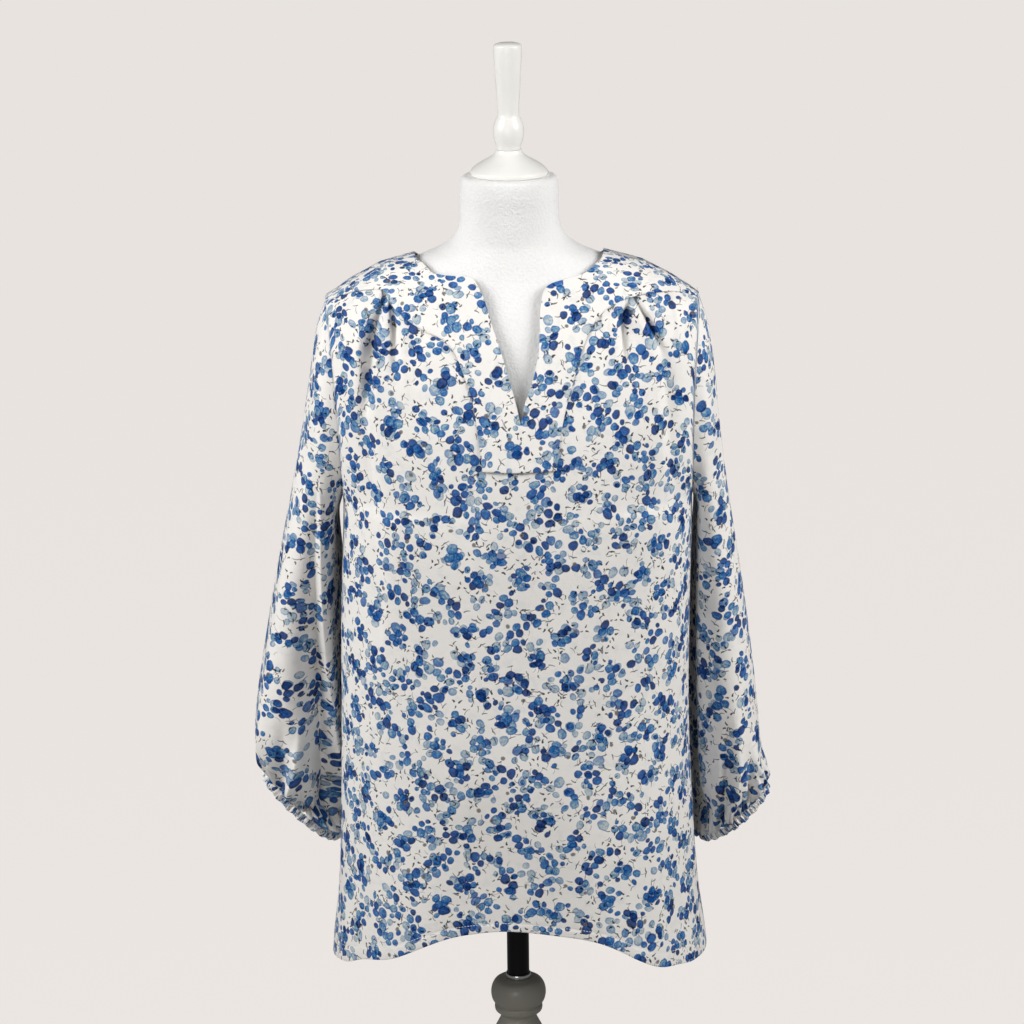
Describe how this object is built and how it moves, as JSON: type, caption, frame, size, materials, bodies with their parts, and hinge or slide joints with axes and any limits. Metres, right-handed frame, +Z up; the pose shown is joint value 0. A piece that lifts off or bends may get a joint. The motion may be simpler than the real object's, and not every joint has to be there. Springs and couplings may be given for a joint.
{
  "type": "long-sleeve blouse on a limbless dress form with stand",
  "caption": "Loose long-sleeve blouse with a notched neck yoke and gathered cuffs, hung on a limbless dress form with a turned stand.",
  "frame": {"origin": "on the floor at the centre of the stand's base, under the pole", "axes": "+Z up along the pole; the front of the blouse faces -Y; +X is to the right of someone looking at the front"},
  "size_m": [0.5441, 0.35, 1.533],
  "materials": {
    "printed_cloth": "off-white slub crepe with a small blue berry and leaf print",
    "jersey_cover": "white pebbly jersey cover",
    "white_lacquer": "cream-white satin lacquer on turned wood",
    "black_pole": "black satin metal",
    "steel_ring": "bright steel",
    "stand_paint": "grey-beige satin paint on turned wood"
  },
  "bodies": {
    "root": {"front": "printed_cloth", "front_yoke": "printed_cloth", "back": "printed_cloth", "back_yoke": "printed_cloth", "sleeve_left": "printed_cloth", "sleeve_right": "printed_cloth", "cuff_left": "printed_cloth", "cuff_right": "printed_cloth", "form_torso": "jersey_cover", "neck_cap": "white_lacquer", "finial": "white_lacquer", "pole": "black_pole", "pole_ring": "steel_ring", "stand_post": "stand_paint", "stand_base": "stand_paint"}
  },
  "joints": []
}
